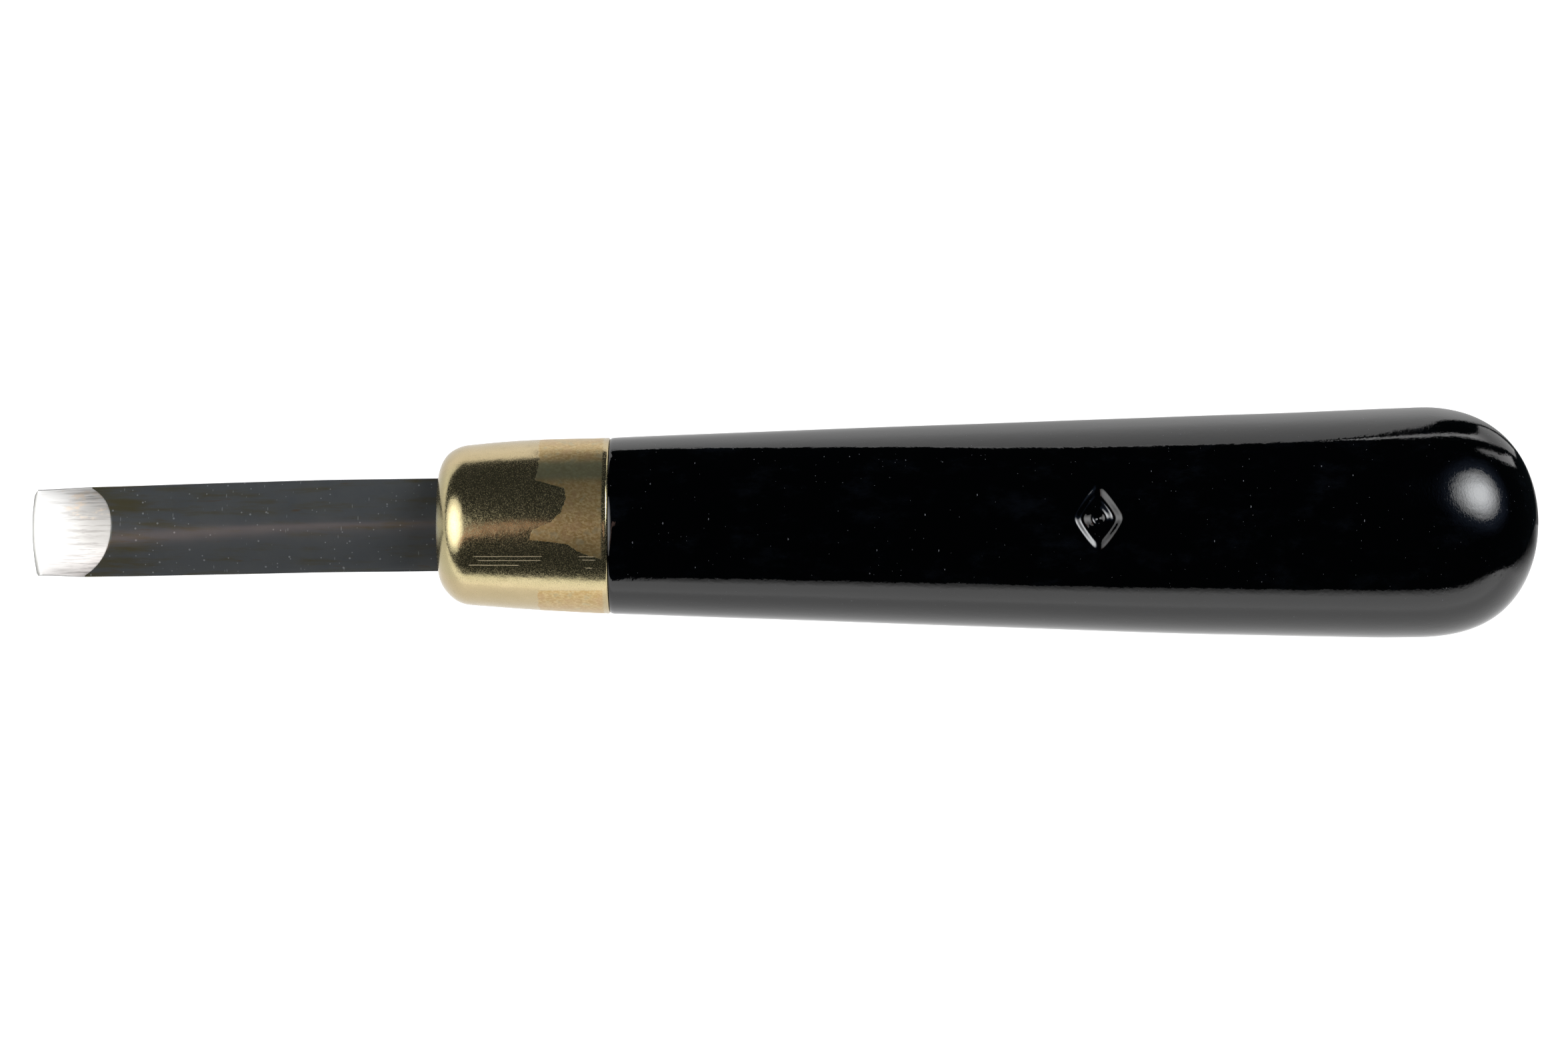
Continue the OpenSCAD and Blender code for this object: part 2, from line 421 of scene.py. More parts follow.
def blade_ring(x_of_y, across):
    """One closed section: top, +Y side, channel, -Y side. x_of_y gives x for every y."""
    width = half_width(np.max(x_of_y(across * TIP_W / 2)))
    ends = np.array([-width, width])
    end_top = np.maximum(top_z(x_of_y(ends), ends), channel_z(ends) + EDGE_LAND)
    radius = min(CORNER_ROUND, 0.45 * np.min(end_top - channel_z(ends)))
    top_y = across * (width - radius)
    x = x_of_y(top_y)
    top = np.maximum(top_z(x, top_y), channel_z(top_y) + EDGE_LAND)
    bottom = channel_z(top_y)
    turn = np.radians([15, 45, 75])
    sides = {}
    for end in (-1, 0):
        sign = np.sign(top_y[end])
        r = min(radius, 0.45 * (top[end] - bottom[end]))
        outward = top_y[end] + sign * radius * np.concatenate([np.sin(turn), np.cos(turn)])
        upper = top[end] - r * (1 - np.cos(turn))
        lower = bottom[end] + r * (1 - np.sin(turn))
        height = np.concatenate([upper, lower])
        sides[end] = np.column_stack([np.full(SIDE_POINTS, x[end]), outward, height])
    return np.vstack([
        np.column_stack([x, top_y, top]),
        sides[-1],
        np.column_stack([x, top_y, bottom])[::-1],
        sides[0][::-1],
    ])


def edge_cap(points_across):
    """Faces that close the first ring, whose top and bottom lie a hair apart."""
    n = points_across
    low = 2 * n + SIDE_POINTS - 1
    faces = [(j, j + 1, low - j - 1, low - j) for j in range(n - 1)]
    faces.append(tuple(range(n - 1, n + SIDE_POINTS + 1)))
    faces.append((0, *range(low + SIDE_POINTS, low - 1, -1)))
    return faces


def tang_ring(x, width, low, high, across):
    """A rectangular section with as many points as blade_ring gives."""
    y = across * width / 2
    side = np.linspace(high, low, SIDE_POINTS)
    return np.vstack([
        np.column_stack([np.full_like(y, x), y, np.full_like(y, high)]),
        np.column_stack([np.full(SIDE_POINTS, x), np.full(SIDE_POINTS, width / 2), side]),
        np.column_stack([np.full_like(y, x), y[::-1], np.full_like(y, low)]),
        np.column_stack([np.full(SIDE_POINTS, x), np.full(SIDE_POINTS, -width / 2), side[::-1]]),
    ])


def heel_x(y):
    """Where the bevel meets the crowned back."""
    return solve_x(lambda a, b: bevel_z(a, b) - back_z(b), y, 0.0, 12.0)


def hone_x(y):
    """Where the honed facet meets the bevel."""
    meeting = solve_x(lambda a, b: hone_z(a, b) - bevel_z(a, b), y, -1.0, 3.0)
    return np.maximum(edge_x(y) + 0.01, meeting)


def between(start, stop, share):
    """A line across the blade, part of the way from one line to another."""
    return lambda y: start(y) * (1 - share) + stop(y) * share


def make_blade():
    """The whole blade with its tang as one closed mesh; its faces carry three materials."""
    spread = np.linspace(-1, 1, 81)
    across = 0.4 * spread + 0.6 * np.sin(spread * math.pi / 2)
    rings = [blade_ring(edge_x, across), blade_ring(hone_x, across)]
    for share in [*np.linspace(0.06, 0.94, 15), 0.985, 1.0]:
        rings.append(blade_ring(between(hone_x, heel_x, share), across))
    bevel_rings = len(rings) - 2
    bar_end = BLADE_OUT + BAR_IN
    for share in [0.006, 0.03, *np.linspace(0.07, 1, 60)]:
        rings.append(blade_ring(between(heel_x, lambda y: bar_end, share), across))
    middle = EDGE_Z + BLADE_T / 2
    for share in (0, 0.25, 0.5, 0.75, 1.0):
        width = TANG_W + (TANG_END - TANG_W) * share
        centre, height = middle * (1 - share), TANG_H + (TANG_END - TANG_H) * share
        x = bar_end + TANG_LEN * share
        rings.append(tang_ring(x, width, centre - height / 2, centre + height / 2, across))
    verts, faces = loft(rings)
    around = len(rings[0])
    finish = [STEEL] * len(faces)
    for i in range(1 + bevel_rings):
        for j in range(-3, len(across) + 2):
            finish[i * around + j % around] = HONED if i == 0 else GROUND
    cap = edge_cap(len(across))
    faces += cap
    finish += [HONED] * len(cap)
    faces.append(tuple(len(verts) - around + j for j in reversed(range(around))))
    finish.append(STEEL)
    verts = np.array(verts)
    from_mouth = verts[:, 0] - BLADE_OUT
    sideways = verts[:, 1] + through(BLADE_BOW, verts[:, 0])
    verts[:, 0] = MOUTH_X + from_mouth * math.cos(SKEW) - sideways * math.sin(SKEW)
    verts[:, 1] = from_mouth * math.sin(SKEW) + sideways * math.cos(SKEW)
    blade = make_object("blade_ground", verts, faces)
    blade.data.polygons.foreach_set("material_index", finish)
    return blade


# ---------------------------------------------------------------- material helper
class Shade:
    """Builds one node material, a call for each node. Sockets or plain numbers go in."""

    def __init__(self, name):
        self.material = bpy.data.materials.new(name)
        self.material.use_nodes = True
        self.tree = self.material.node_tree
        self.tree.nodes.clear()
        self.output = self.tree.nodes.new("ShaderNodeOutputMaterial")

    def put(self, socket, value):
        if isinstance(value, bpy.types.NodeSocket):
            self.tree.links.new(value, socket)
        elif isinstance(value, (tuple, list)) and socket.type == "RGBA" and len(value) == 3:
            socket.default_value = (*value, 1)
        else:
            socket.default_value = value

    def node(self, kind, inputs=None, **settings):
        made = self.tree.nodes.new("ShaderNode" + kind)
        for key, value in settings.items():
            setattr(made, key, value)
        for key, value in (inputs or {}).items():
            self.put(made.inputs[key], value)
        return made

    def math(self, operation, a, b=0.0, c=0.0):
        made = self.node("Math", operation=operation)
        for socket, value in zip(made.inputs, (a, b, c)):
            self.put(socket, value)
        return made.outputs[0]

    def step(self, value, low, high, out_low=0.0, out_high=1.0):
        """Smooth change from out_low to out_high as value goes from low to high."""
        made = self.node("MapRange", interpolation_type="SMOOTHSTEP")
        for key, given in zip(
            ("Value", "From Min", "From Max", "To Min", "To Max"), (value, low, high, out_low, out_high)
        ):
            self.put(made.inputs[key], given)
        return made.outputs[0]

    def near(self, value, centre, reach):
        """1 where value is at centre, 0 where it is reach or more away."""
        away = self.math("ABSOLUTE", self.math("SUBTRACT", value, centre))
        return self.step(away, 0.0, reach, 1.0, 0.0)

    def mix(self, factor, a, b):
        made = self.node("Mix", data_type="RGBA")
        self.put(made.inputs[0], factor)
        self.put(made.inputs[6], a)
        self.put(made.inputs[7], b)
        return made.outputs[2]

    def blend(self, factor, a, b):
        made = self.node("Mix", data_type="FLOAT")
        self.put(made.inputs[0], factor)
        self.put(made.inputs[2], a)
        self.put(made.inputs[3], b)
        return made.outputs[0]

    def world_place(self):
        """World position in millimetres, as (x, y, z); for the studio only."""
        place = self.node("NewGeometry").outputs["Position"]
        scaled = self.node("VectorMath", {0: place}, operation="SCALE")
        scaled.inputs["Scale"].default_value = 1 / MM
        return tuple(self.node("SeparateXYZ", {0: scaled.outputs[0]}).outputs)

    def millimetres(self):
        """The surface point in millimetres, as (vector, x, y, z)."""
        place = self.node("TexCoord").outputs["Object"]
        scaled = self.node("VectorMath", {0: place}, operation="SCALE")
        scaled.inputs["Scale"].default_value = 1 / MM
        parts = self.node("SeparateXYZ", {0: scaled.outputs[0]}).outputs
        return scaled.outputs[0], parts[0], parts[1], parts[2]

    def stretch(self, vector, x=1.0, y=1.0, z=1.0, shift=0.0, turn=0.0):
        """Scaled, shifted and turned about Z (degrees), so that a pattern runs along a direction."""
        made = self.node("Mapping", {"Vector": vector})
        made.inputs["Scale"].default_value = (x, y, z)
        made.inputs["Rotation"].default_value = (0, 0, math.radians(turn))
        made.inputs["Location"].default_value = (shift, shift, shift)
        return made.outputs[0]

    def noise(self, vector, scale, detail=2.0, roughness=0.5, distortion=0.0):
        made = self.node("TexNoise", {"Vector": vector})
        made.inputs["Scale"].default_value = scale
        made.inputs["Detail"].default_value = detail
        made.inputs["Roughness"].default_value = roughness
        made.inputs["Distortion"].default_value = distortion
        return made.outputs[0]

    def specks(self, vector, per_mm, size, share):
        """Small round dots: size is a share of the cell, share is how many cells have one."""
        cells = self.node("TexVoronoi", {"Vector": vector})
        cells.inputs["Scale"].default_value = per_mm
        pick = self.node("SeparateColor", {0: cells.outputs["Color"]}).outputs[0]
        dot = self.step(cells.outputs["Distance"], size * 0.5, size, 1.0, 0.0)
        chosen = self.math("LESS_THAN", pick, share)
        return self.math("MULTIPLY", dot, chosen)

    def curve(self, value, low, high, points):
        """Straight lines through (value, result) points, for values from low to high."""
        share = self.math("DIVIDE", self.math("SUBTRACT", value, low), high - low)
        ramp = self.node("ValToRGB", {"Fac": share})
        stops = ramp.color_ramp.elements
        while len(stops) < len(points):
            stops.new(0.5)
        for stop, (at, result) in zip(stops, points):
            stop.position = (at - low) / (high - low)
            stop.color = (result, result, result, 1)
        return self.node("SeparateColor", {0: ramp.outputs["Color"]}).outputs[0]

    def within(self, value, low, high, soft):
        """1 between low and high, 0 outside, with soft ends."""
        rise = self.step(value, low - soft, low + soft)
        return self.math("MULTIPLY", rise, self.step(value, high - soft, high + soft, 1.0, 0.0))

    def bump(self, height, distance):
        """distance is the height in millimetres that a change of 1 stands for."""
        made = self.node("Bump", {"Height": height})
        made.inputs["Distance"].default_value = distance * MM
        return made.outputs[0]

    def principled(self, **inputs):
        made = self.node("BsdfPrincipled")
        for key, value in inputs.items():
            self.put(made.inputs[key.replace("_", " ")], value)
        self.tree.links.new(made.outputs[0], self.output.inputs[0])
        return self.material


# ---------------------------------------------------------------- materials
def lacquer_material():
    """Deep gloss black lacquer with orange peel, brush ripple, dust and smudges."""
    s = Shade("black_lacquer")
    point, x, *_ = s.millimetres()
    slow = s.noise(s.stretch(point, 0.55, 1.0, 1.0), 0.9, 2.0, 0.45)
    peel = s.noise(s.stretch(point, 0.8, 1.0, 1.0, 5.0), 2.7, 2.0, 0.55)
    height = s.math("MULTIPLY_ADD", peel, 0.55, slow)
    crinkle = s.noise(s.stretch(point, 1.3, 0.7, 0.7, 11.0, 20), 4.5, 3.0, 0.6, 0.6)
    on_dome = s.step(x, 48.0, 58.0, 0.05, 0.8)
    height = s.math("MULTIPLY_ADD", crinkle, on_dome, height)
    fine_dust = s.specks(point, 2.6, 0.09, 0.25)
    lint = s.specks(s.stretch(point, 1.0, 0.45, 1.0, 3.0, 35), 1.2, 0.07, 0.4)
    dust = s.math("MAXIMUM", fine_dust, lint)
    smudge = s.step(s.noise(point, 0.22, 4.0, 0.62), 0.5, 0.75)
    haze = s.step(s.noise(s.stretch(point, 0.6, 1.0, 1.0, 9.0), 0.35, 5.0, 0.7), 0.5, 0.8)
    cool = s.mix(haze, (0.0001, 0.0001, 0.0002), (0.0020, 0.0026, 0.0040))
    clean = s.math("MULTIPLY_ADD", smudge, 0.05, 0.04)
    return s.principled(
        Base_Color=s.mix(dust, cool, (0.09, 0.094, 0.105)),
        Roughness=s.math("MAXIMUM", clean, s.math("MULTIPLY", dust, 0.6)),
        IOR=1.5,
        Normal=s.bump(height, 0.0085),
    )


# How far an old film of varnish reaches forward from the ferrule's rear, in mm, by the angle
# round the ferrule in degrees: 0 on top, positive towards +Y
FILM_REACH = [
    (-180, 5.6), (-110, 6.0), (-76, 6.2), (-49, 6.1), (-47, 0.1), (-23, 0.3), (-18, 2.4),
    (-12, 3.5), (-10, 6.6), (-3, 6.4), (3, 4.6), (9, 4.0), (18, 3.5), (25, 3.7), (31, 6.2),
    (48, 6.0), (76, 6.2), (120, 5.4), (180, 5.6),
]
# Fine scratches along the ferrule: sideways place, start and end, in mm
FERRULE_SCRATCHES = [(-2.70, -26.8, -20.8), (-3.05, -26.4, -20.9), (-3.46, -27.2, -22.8),
                     (-2.72, -17.7, -16.3), (-3.00, -17.4, -16.2), (-3.70, -17.1, -16.5)]


def brass_material():
    """Tarnished brass with fine pitted grain, an old scaly film at the rear, fine scratches, and a
    darker, greener painted shade over its top.
    """
    s = Shade("brass")
    point, x, y, z = s.millimetres()
    angle = s.math("DEGREES", s.math("ARCTAN2", y, z))
    wobble = s.math("MULTIPLY_ADD", s.noise(point, 1.6, 3.0, 0.6), 0.7, -0.35)
    reach = s.math("ADD", s.curve(angle, -180, 180, FILM_REACH), wobble)
    inside = s.math("SUBTRACT", reach, s.math("SUBTRACT", SHOULDER_X, x))
    behind_rim = s.step(s.math("SUBTRACT", SHOULDER_X, x), 0.4, 0.6)
    film = s.math("MULTIPLY", s.step(inside, -0.03, 0.03), behind_rim)

    grain = s.noise(point, 10.0, 3.0, 0.7)
    sparkle = s.step(grain, 0.44, 0.64)
    coarse = s.specks(point, 5.0, 0.19, 0.3)
    fine = s.specks(s.stretch(point, shift=5.0), 8.5, 0.24, 0.22)
    glints = s.math("MAXIMUM", coarse, fine)
    clouds = s.noise(point, 0.55, 4.0, 0.65)
    stains = s.step(s.noise(s.stretch(point, 0.7, 1.0, 1.0, 4.0), 1.1, 4.0, 0.7), 0.56, 0.72)
    # Painted shade: the top of the ferrule gets a darker, greener tone where it reflects the dark
    # overhead.
    back_painted_shade = s.within(angle, -44, 48, 7.0)
    bare = s.mix(clouds, (0.455, 0.365, 0.20), (0.59, 0.475, 0.28))
    back_shade_tone = s.mix(clouds, (0.39, 0.365, 0.19), (0.51, 0.435, 0.255))
    bare = s.mix(s.math("MULTIPLY", back_painted_shade, 0.7), bare, back_shade_tone)
    bare = s.mix(s.math("MULTIPLY", stains, 0.3), bare, (0.30, 0.23, 0.11))

    scales = s.step(s.noise(s.stretch(point, 1.0, 1.6, 1.6, 2.0, 35), 3.4, 3.0, 0.6, 0.5), 0.38, 0.66)
    blotch = s.noise(s.stretch(point, shift=12.0), 0.9, 4.0, 0.6)
    # A band from 31 to 47 degrees round towards +Y, where the film is tinted a darker teal and made a
    # little more metallic.
    teal_band = s.within(angle, 31, 47, 4.0)
    varnish = s.mix(scales, (0.47, 0.32, 0.13), (0.62, 0.475, 0.24))
    varnish = s.mix(s.step(blotch, 0.5, 0.66, 0.0, 0.55), varnish, (0.50, 0.33, 0.17))
    varnish = s.mix(s.step(blotch, 0.34, 0.46, 0.5, 0.0), varnish, (0.44, 0.40, 0.25))
    varnish = s.mix(s.math("MULTIPLY", teal_band, 0.6), varnish, (0.27, 0.33, 0.22))

    lines = 0.0
    waver = s.math("MULTIPLY_ADD", s.noise(s.stretch(point, 1.0, 0.1, 0.1), 0.8, 1.0), 0.06, -0.03)
    across = s.math("ADD", y, waver)
    on_top = s.math("GREATER_THAN", z, 0.0)
    for place, start, end in FERRULE_SCRATCHES:
        stretch = s.math("MULTIPLY", s.within(x, start, end, 0.15), on_top)
        line = s.math("MULTIPLY", s.near(across, place, 0.055), stretch)
        lines = s.math("MAXIMUM", lines, line)

    rough = s.math("MULTIPLY_ADD", sparkle, 0.17, 0.12)
    rough = s.math("MAXIMUM", rough, s.math("MULTIPLY", glints, 0.37))
    rough = s.blend(film, rough, s.math("MULTIPLY_ADD", scales, 0.05, 0.30))
    metal = s.math("MULTIPLY_ADD", teal_band, 0.02, 0.89)
    height = s.math("MULTIPLY_ADD", s.noise(point, 1.3, 2.0, 0.5), 4.0, grain)
    height = s.math("SUBTRACT", height, s.math("MULTIPLY", lines, 1.5))
    height = s.math("ADD", height, s.math("MULTIPLY", film, s.math("MULTIPLY_ADD", scales, 0.35, 0.6)))
    colour = s.mix(film, bare, varnish)
    return s.principled(
        Base_Color=s.mix(s.math("MULTIPLY", lines, 0.8), colour, (0.80, 0.68, 0.48)),
        Metallic=s.blend(film, s.math("MULTIPLY_ADD", sparkle, -0.055, 0.98), metal),
        Roughness=s.math("MAXIMUM", rough, s.math("MULTIPLY", lines, 0.62)),
        Normal=s.bump(height, 0.0035),
    )


def steel_material():
    """Heat-darkened steel with olive stains, white specks and small scratches."""
    s = Shade("tool_steel")
    point, x, *_ = s.millimetres()
    brushed = s.noise(s.stretch(point, 0.3, 7.0, 7.0), 1.0, 4.0, 0.6)
    clouds = s.noise(point, 0.45, 4.0, 0.65)
    colour = s.mix(clouds, (0.150, 0.164, 0.180), (0.212, 0.216, 0.212))
    near_heel = s.step(x, -59.5, -51.0, 0.12, 0.0)
    smear = s.noise(s.stretch(point, 0.16, 1.2, 1.2, 6.0), 1.0, 5.0, 0.66)
    stain = s.step(s.math("ADD", smear, near_heel), 0.48, 0.78)
    colour = s.mix(s.math("MULTIPLY", stain, 0.8), colour, (0.165, 0.140, 0.060))
    rust = s.step(s.noise(s.stretch(point, 0.28, 2.2, 2.2, 1.5), 1.0, 3.0, 0.6), 0.64, 0.76)
    colour = s.mix(s.math("MULTIPLY", rust, 0.6), colour, (0.20, 0.115, 0.03))
    coarse = s.specks(point, 1.5, 0.17, 0.26)
    fine = s.specks(s.stretch(point, shift=7.0), 2.6, 0.2, 0.2)
    dots = s.math("MAXIMUM", coarse, fine)
    ticks = s.math(
        "MAXIMUM",
        s.specks(s.stretch(point, 3.6, 0.8, 1.0, 2.0, 12), 1.0, 0.2, 0.12),
        s.specks(s.stretch(point, 3.6, 0.9, 1.0, 8.0, -38), 1.0, 0.18, 0.12),
    )
    marks = s.math("MAXIMUM", s.math("MULTIPLY", dots, 0.6), s.math("MULTIPLY", ticks, 0.4))
    return s.principled(
        Base_Color=s.mix(marks, colour, (0.52, 0.54, 0.55)),
        Metallic=s.blend(marks, 0.72, 0.6),
        Roughness=s.math("MULTIPLY_ADD", brushed, 0.08, 0.15),
        Normal=s.bump(s.noise(s.stretch(point, 0.4, 2.0, 2.0), 3.0, 3.0, 0.6), 0.002),
    )


def ground_material():
    """The bevel off the stone: bright steel with grinding lines along the tool and faint stains; towards
    the heel its colour holds painted shade in the middle and painted light at the sides.
    """
    s = Shade("ground_steel")
    point, x, y, _ = s.millimetres()
    lines = s.noise(s.stretch(point, 0.16, 9.0, 2.0), 1.0, 4.0, 0.65)
    streaks = s.noise(s.stretch(point, 0.10, 3.2, 1.0, 3.0), 1.0, 3.0, 0.7)
    heel_painted_light_and_shade = s.step(x, -64.6, -60.2)
    both = s.math("MULTIPLY_ADD", streaks, 0.5, s.math("MULTIPLY", lines, 0.5))
    more_to_heel = s.step(x, -65.4, -60.5, 0.25, 1.0)
    dark = s.math("MULTIPLY", s.step(both, 0.40, 0.54, 1.0, 0.0), more_to_heel)
    # Painted light and shade: towards the heel the base colour is darker in the middle and brighter at
    # the sides, making up for how the lamp's reflection falls there.
    sides_painted_light = s.step(s.math("ABSOLUTE", y), 1.0, 3.4)
    heel = s.mix(sides_painted_light, (0.36, 0.35, 0.335), (0.82, 0.80, 0.78))
    bright = s.mix(heel_painted_light_and_shade, (0.62, 0.615, 0.605), heel)
    colour = s.mix(s.math("MULTIPLY", dark, 0.55), bright, (0.15, 0.14, 0.13))
    stain = s.step(s.noise(s.stretch(point, 0.5, 1.2, 1.0, 8.0), 1.2, 4.0, 0.65), 0.52, 0.68)
    upper = s.within(y, 0.6, 3.0, 0.5)
    colour = s.mix(s.math("MULTIPLY", s.math("MULTIPLY", stain, upper), 0.6), colour, (0.62, 0.50, 0.38))
    return s.principled(
        Base_Color=colour, Metallic=1.0, Roughness=s.math("MULTIPLY_ADD", lines, 0.14, 0.31),
        Normal=s.bump(lines, 0.003),
    )


def honed_material():
    """The narrow honed facet at the cutting edge."""
    s = Shade("honed_steel")
    point, *_ = s.millimetres()
    tint = s.mix(s.noise(point, 3.0, 3.0, 0.6), (0.40, 0.40, 0.385), (0.50, 0.50, 0.48))
    return s.principled(Base_Color=tint, Metallic=1.0, Roughness=0.3)


def bedding_material():
    """Dark set resin around the tang."""
    s = Shade("bedding_resin")
    point, *_ = s.millimetres()
    tint = s.mix(s.noise(point, 1.5, 3.0, 0.6), (0.035, 0.024, 0.014), (0.09, 0.06, 0.035))
    return s.principled(Base_Color=tint, Roughness=0.35, Normal=s.bump(s.noise(point, 2.5), 0.03))


# ---------------------------------------------------------------- studio
TOOL_SHARE = 0.9596
AXIS_DROP = 0.0017
LENS, SENSOR = 100.0, 36.0
CARD_RANGE = 500.0
FLOOR_GAP = 0.05
FLOOR_REACH = 4000
WALL_TOP = 112
WALL_Y = -300
STRIP_Z = 300
LAMP_SIDES = 10

# Outlines of the cards that the tool reflects: (x, y) on the floor or overhead, (x, z) for the wall
SHEET = [
    (-900, -300), (560, -300), (346, -168), (122, -27), (94, -10), (83, -3), (74, 1), (68, 8), (67, 20),
    (65, 25), (62, 32), (61, 42), (59, 60), (59, 140), (62, 262),
    (40, 262), (29, 211), (22, 141), (17, 104), (12, 73), (8, 60), (3, 50), (-1, 43), (-9, 31),
    (-24, 25), (-24.5, 55), (-900, 55),
]
SHEET_RIM = [
    (-24, 26.5), (-16, 28), (-7, 32.5), (1, 44.5), (6, 52), (11, 62.5), (15, 76), (20.5, 109),
    (26, 148), (33, 220), (42, 275), (62, 275),
]
SIDE_RIM = [
    (64, 262), (66, 130), (78, 100), (83, 58), (77, 34), (68, 20), (70, 10), (75, 12), (85, 32),
    (91, 62), (92, 120), (84, 180), (76, 262),
]
FAR_STREAK = [
    (80, 17), (97, 36), (172, 158), (500, 700), (560, 700), (200, 160), (107, 36), (85, 16),
]
WALL_CARD = [
    (-900, -20), (580, -20), (425, 72), (340, 100), (273, 110), (182, 100), (70, WALL_TOP),
    (-36, WALL_TOP), (-46, 76), (-900, 76),
]
STRIP = [
    (-62, 28), (-86, 10), (-106, -38), (-136, -82), (-300, -182), (-300, -222), (-128, -108),
    (-98, -64), (-80, -18), (-62, 8),
]


def glow(name, colour, strength):
    """An emission material; a pattern of strength can be put on its shine socket."""
    s = Shade(name)
    emission = s.node("Emission", {"Color": colour, "Strength": strength})
    s.tree.links.new(emission.outputs[0], s.output.inputs[0])
    s.shine = emission.inputs["Strength"]
    return s


def stage_mesh(name, corners, material, camera=False):
    """A flat polygon that isn't part of the object, from corners in millimetres."""
    mesh = bpy.data.meshes.new(name)
    mesh.from_pydata([tuple(c * MM for c in corner) for corner in corners], [], [range(len(corners))])
    mesh.materials.append(material)
    obj = bpy.data.objects.new(name, mesh)
    bpy.context.collection.objects.link(obj)
    obj.visible_camera = camera
    obj.visible_shadow = camera
    return obj


def floor_z(x):
    """The floor lies along the handle's straight stretch, so it falls away towards +X."""
    return -(cone_at(x) + FLOOR_GAP) * math.hypot(1, TAPER)


def softbox(name, azimuth, elevation, reach, hot, rim, tint=(1, 1, 1), away=CARD_RANGE):
    """A round lamp, away mm from the tool, that fades from hot at its centre to rim.

    Azimuth counts from +X towards +Y, and reach is its half width as seen from the tool; degrees.
    """
    a, e = math.radians(azimuth), math.radians(elevation)
    out = Vector((math.cos(e) * math.cos(a), math.cos(e) * math.sin(a), math.sin(e)))
    centre = out * away
    side = Vector((-math.sin(a), math.cos(a), 0))
    rise = out.cross(side)
    radius = away * math.tan(math.radians(reach))
    ring = [
        centre + radius * (side * math.cos(t) + rise * math.sin(t))
        for t in np.linspace(0, 2 * math.pi, LAMP_SIDES, endpoint=False)
    ]
    s = glow(name, tint, 1.0)
    place = s.node("NewGeometry").outputs["Position"]
    off_centre = s.node("VectorMath", {0: place, 1: tuple(centre * MM)}, operation="DISTANCE")
    s.put(s.shine, s.step(off_centre.outputs["Value"], 0.1 * radius * MM, radius * MM, hot, rim))
    return stage_mesh(name, ring, s.material)


def on_floor(outline, gap):
    """The corners of an outline that lies this far above the floor."""
    return [(x, y, floor_z(x) + gap) for x, y in outline]


def make_world():
    """White to the camera and nearly black in the reflections."""
    world = bpy.data.worlds.new("studio")
    bpy.context.scene.world = world
    world.use_nodes = True
    nodes, links = world.node_tree.nodes, world.node_tree.links
    nodes.clear()
    seen = nodes.new("ShaderNodeLightPath").outputs["Is Camera Ray"]
    out = nodes.new("ShaderNodeOutputWorld")
    pale = nodes.new("ShaderNodeBackground")
    dim = nodes.new("ShaderNodeBackground")
    pale.inputs["Color"].default_value = (1, 1, 1, 1)
    dim.inputs["Color"].default_value = (0.008, 0.011, 0.012, 1)
    pick = nodes.new("ShaderNodeMixShader")
    links.new(seen, pick.inputs[0])
    links.new(dim.outputs[0], pick.inputs[1])
    links.new(pale.outputs[0], pick.inputs[2])
    links.new(pick.outputs[0], out.inputs[0])


def make_floor():
    """A pale floor that also glows, so that it stays white under the tool. Reflections pass it by."""
    shade = Shade("floor")
    diffuse = shade.node("BsdfDiffuse", {"Color": (0.5, 0.5, 0.5)})
    shine = shade.node("Emission", {"Color": (1, 1, 1), "Strength": 0.9})
    both = shade.node("AddShader", {0: diffuse.outputs[0], 1: shine.outputs[0]})
    shade.tree.links.new(both.outputs[0], shade.output.inputs[0])
    far = FLOOR_REACH
    corners = on_floor([(-far, -far), (far, -far), (far, far), (-far, far)], 0)
    floor = stage_mesh("floor", corners, shade.material, camera=True)
    floor.visible_glossy = False


def make_sheet():
    """The lit sheet that the reflections see in place of the floor, with a painted shadow of the tool
    that makes it darker close to the tool.
    """
    lit = glow("lit_sheet", (1, 1, 1), 1.0)
    x, y, _ = lit.world_place()
    # Painted shadow of the tool: the glow drops close to the tool, more on the +Y side and towards the
    # butt.
    shaded = lit.step(x, -30.0, 25.0, 0.85, 0.35)
    far_side = lit.step(y, 7.0, 24.0, shaded, 1.15)
    near_side = lit.step(y, -200.0, -6.0, 1.6, 1.0)
    level = lit.blend(lit.math("GREATER_THAN", y, 0.0), near_side, far_side)
    # The sheet fades out before its slanted right edge
    sideways = lit.math("MAXIMUM", lit.math("MULTIPLY_ADD", y, -1.0, -3.0), 0.0)
    past = lit.math("MULTIPLY_ADD", sideways, -1.86, x)
    level = lit.math("MULTIPLY", level, lit.step(past, 60.0, 82.0, 1.0, 0.05))
    lit.put(lit.shine, level)
    stage_mesh("lit_sheet", on_floor(SHEET, 0.2), lit.material)


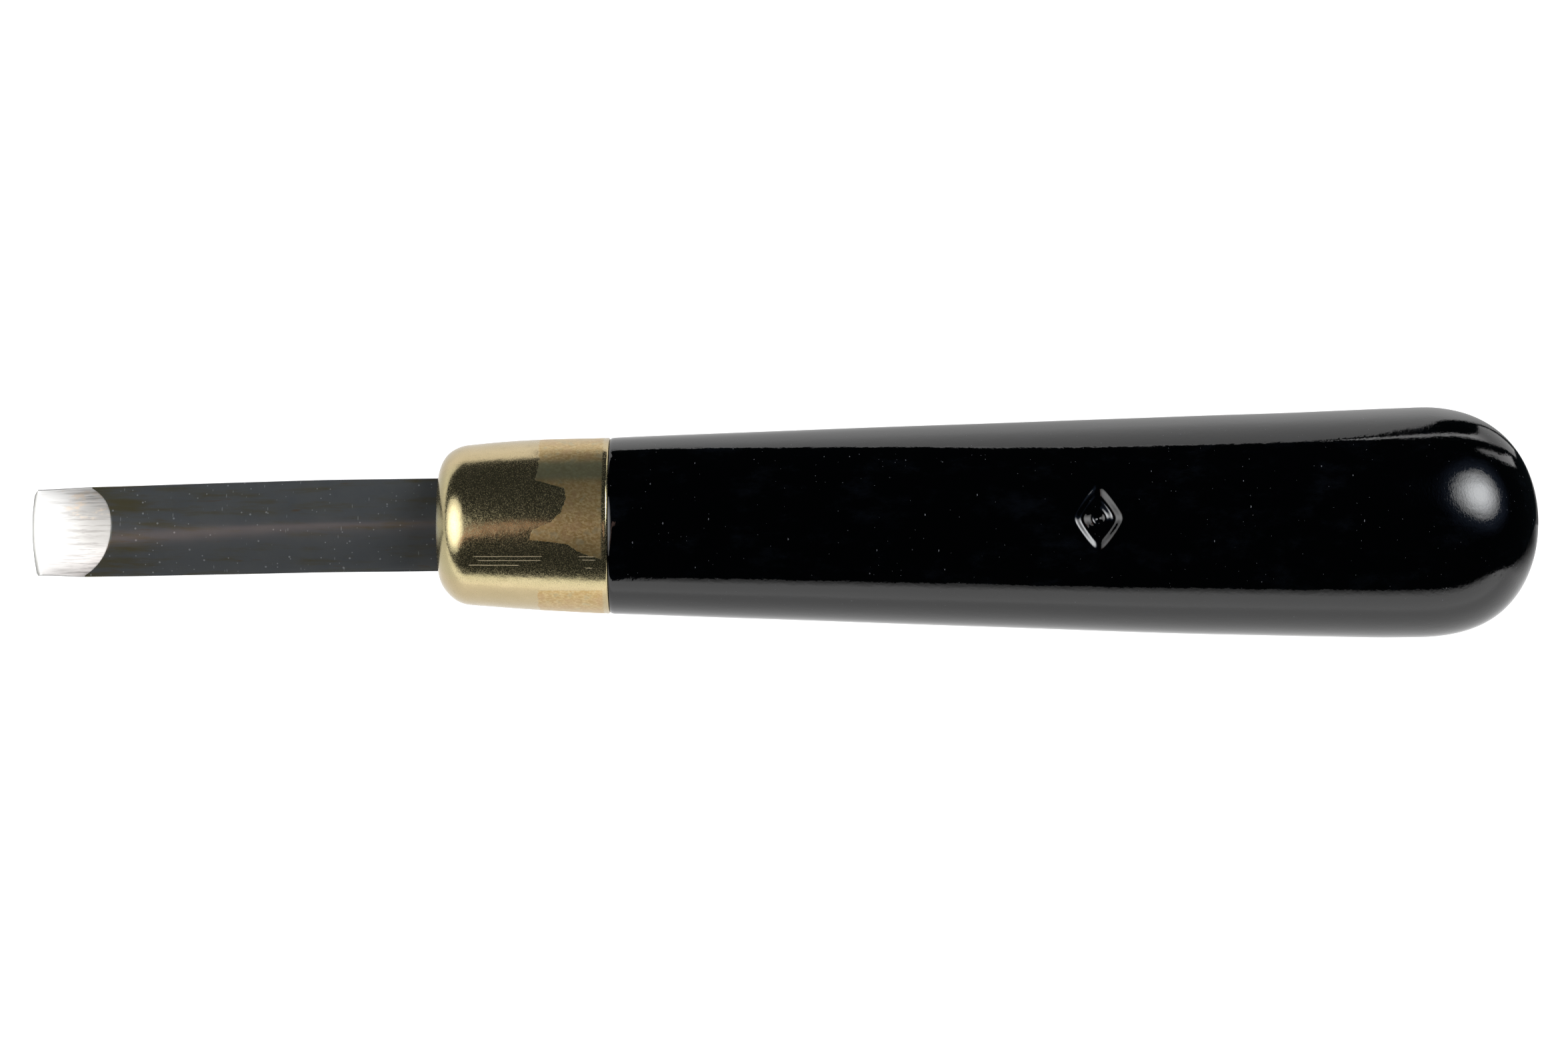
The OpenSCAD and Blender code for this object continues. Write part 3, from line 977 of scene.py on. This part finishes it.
def make_streaks():
    """Bright lines along the sheet's far edge and beyond its right edge."""
    rim = glow("sheet_rim", (1, 1, 1), 1.5)
    outer = [(x + 0.012 * y, y * 1.05 + 0.4) for x, y in reversed(SHEET_RIM)]
    stage_mesh("sheet_rim", on_floor(SHEET_RIM + outer, 0.4), rim.material)
    side = glow("side_rim", (1, 1, 1), 1.0)
    _, y, _ = side.world_place()
    side.put(side.shine, side.step(y, 25.0, 60.0, 0.75, 2.6))
    stage_mesh("side_rim", on_floor(SIDE_RIM, 0.4), side.material)
    stage_mesh("far_streak", on_floor(FAR_STREAK, 0.4), rim.material)


def make_wall():
    """A low upright card on the -Y side, dimmer towards its top."""
    wall = glow("low_card", (1, 1, 1), 1.0)
    _, _, height = wall.world_place()
    wall.put(wall.shine, wall.step(height, 60.0, WALL_TOP, 1.6, 0.5))
    stage_mesh("low_card", [(x, WALL_Y, z) for x, z in WALL_CARD], wall.material)


def make_strip():
    """A dim warm strip, hung askew over the blade and the ferrule."""
    strip = glow("warm_strip", (1.0, 0.64, 0.54), 1.0)
    stage_mesh("warm_strip", [(x, y, STRIP_Z) for x, y in STRIP], strip.material)


def make_studio():
    make_world()
    make_floor()
    make_sheet()
    make_streaks()
    make_wall()
    make_strip()
    softbox("lamp_right", 29, 36, reach=22.5, hot=13, rim=2.0, tint=(0.96, 0.98, 1.0))
    halo_away = 1.2 * CARD_RANGE
    softbox("right_halo", 29, 36, reach=36, hot=0.7, rim=0.03, tint=(0.50, 0.66, 1.0), away=halo_away)
    softbox("lamp_left", 180, 38, reach=32, hot=4.2, rim=1.3)


def make_camera():
    camera = bpy.data.cameras.new("camera")
    camera.lens, camera.sensor_width = LENS, SENSOR
    obj = bpy.data.objects.new("camera", camera)
    bpy.context.collection.objects.link(obj)
    seen_width = LENGTH / TOOL_SHARE
    distance = seen_width * LENS / SENSOR
    obj.location = (0, AXIS_DROP * seen_width * MM, distance * MM)
    camera.clip_start, camera.clip_end = 0.01, 20
    bpy.context.scene.camera = obj


def dress(obj, node, slot, *materials):
    """Gives a piece its materials and stands it in for a CAD node."""
    for material in materials:
        obj.data.materials.append(material)
    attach(obj, "root")
    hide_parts(node)


make_camera()
make_studio()
dress(make_handle(), "handle", "handle", lacquer_material())
dress(make_ferrule(), "ferrule", "ferrule", brass_material())
dress(make_blade(), "blade", "blade", steel_material(), ground_material(), honed_material())
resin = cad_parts["tang_resin"]
resin.data.materials.clear()
resin.data.materials.append(bedding_material())

bpy.context.scene.view_settings.view_transform = "Standard"
